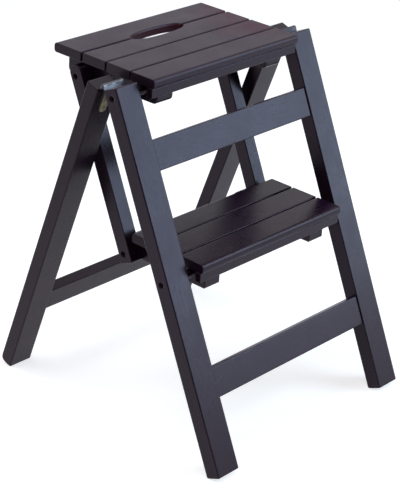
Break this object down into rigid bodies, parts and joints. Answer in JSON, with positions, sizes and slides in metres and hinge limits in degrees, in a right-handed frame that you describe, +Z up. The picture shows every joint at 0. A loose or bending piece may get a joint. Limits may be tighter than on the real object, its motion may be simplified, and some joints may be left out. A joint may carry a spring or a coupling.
{
  "type": "folding step stool",
  "caption": "Folding wooden step stool that doubles as a seat: slatted steps in a hinged A-frame, a hand slot in the upper step, and hanging link bars that fold the steps together.",
  "frame": {"origin": "On the floor, at the middle of the footprint of the opened stool, between the front feet and the rear feet.", "axes": "+X to the user's right as they face the back from the front, along the hinge and pivot axes; +Y from the front feet to the rear feet; +Z up."},
  "size_m": [0.41, 0.4536, 0.5233],
  "materials": {
    "stained_wood": "satin dark espresso stain",
    "plank_wood": "satin dark espresso stain, a little lighter on the step surfaces",
    "zinc_steel": "bright zinc plate",
    "brass_plate": "dull brass plate",
    "black_steel": "blackened bolt"
  },
  "bodies": {
    "front_frame": {"front_leg_left": "stained_wood", "front_leg_right": "stained_wood", "front_upper_rail": "stained_wood", "front_lower_rail": "stained_wood", "upper_pivot_bolt_left": "black_steel", "upper_pivot_bolt_right": "black_steel", "lower_pivot_bolt_left": "black_steel", "lower_pivot_bolt_right": "black_steel", "upper_pivot_spacer_left": "black_steel", "upper_pivot_spacer_right": "black_steel", "lower_pivot_spacer_left": "black_steel", "lower_pivot_spacer_right": "black_steel", "hinge_front_leaf_left": "zinc_steel", "hinge_front_leaf_right": "zinc_steel", "hinge_pin_left": "zinc_steel", "hinge_pin_right": "zinc_steel", "hinge_front_screw_left_1": "zinc_steel", "hinge_front_screw_left_2": "zinc_steel", "hinge_front_screw_left_3": "zinc_steel", "hinge_front_screw_right_1": "zinc_steel", "hinge_front_screw_right_2": "zinc_steel", "hinge_front_screw_right_3": "zinc_steel"},
    "rear_frame": {"rear_leg_left": "stained_wood", "rear_leg_right": "stained_wood", "rear_upper_rail": "stained_wood", "rear_lower_rail": "stained_wood", "hinge_rear_leaf_left": "brass_plate", "hinge_rear_leaf_right": "brass_plate", "hinge_rear_screw_left_1": "brass_plate", "hinge_rear_screw_left_2": "brass_plate", "hinge_rear_screw_left_3": "brass_plate", "hinge_rear_screw_right_1": "brass_plate", "hinge_rear_screw_right_2": "brass_plate", "hinge_rear_screw_right_3": "brass_plate"},
    "top_step": {"top_plank_1": "plank_wood", "top_plank_2": "plank_wood", "top_plank_3": "plank_wood", "top_plank_4": "plank_wood", "top_front_batten": "stained_wood", "top_bearer_left": "stained_wood", "top_bearer_right": "stained_wood", "top_link_bolt_left": "black_steel", "top_link_bolt_right": "black_steel"},
    "middle_step": {"middle_plank_1": "plank_wood", "middle_plank_2": "plank_wood", "middle_plank_3": "plank_wood", "middle_front_batten": "stained_wood", "middle_bearer_left": "stained_wood", "middle_bearer_right": "stained_wood", "middle_link_bolt_left": "black_steel", "middle_link_bolt_right": "black_steel"},
    "link_left": {"link_bar_left": "stained_wood"},
    "link_right": {"link_bar_right": "stained_wood"}
  },
  "joints": [
    {"name": "top_step_fold", "type": "hinge", "parent": "front_frame", "child": "top_step", "pos_m": [0, 0.00902, 0.50065], "axis": [1, 0, 0], "range_deg": [0, 48]},
    {"name": "middle_step_fold", "type": "hinge", "parent": "front_frame", "child": "middle_step", "pos_m": [0, -0.09921, 0.26095], "axis": [1, 0, 0], "range_deg": [0, 48]},
    {"name": "link_left_fold", "type": "hinge", "parent": "top_step", "child": "link_left", "pos_m": [-0.1425, 0.13302, 0.48514], "axis": [1, 0, 0], "range_deg": [-48, 0]},
    {"name": "link_right_fold", "type": "hinge", "parent": "top_step", "child": "link_right", "pos_m": [0.1425, 0.13302, 0.48514], "axis": [1, 0, 0], "range_deg": [-48, 0]},
    {"name": "rear_frame_fold", "type": "hinge", "parent": "front_frame", "child": "rear_frame", "pos_m": [0, 0.03, 0.51235], "axis": [1, 0, 0], "range_deg": [-42.3, 0]}
  ],
  "couplings": [
    {"joint": "middle_step_fold", "follows": "top_step_fold", "ratio": 1},
    {"joint": "link_left_fold", "follows": "top_step_fold", "ratio": -1},
    {"joint": "link_right_fold", "follows": "top_step_fold", "ratio": -1},
    {"joint": "rear_frame_fold", "follows": "top_step_fold", "ratio": -0.88}
  ]
}
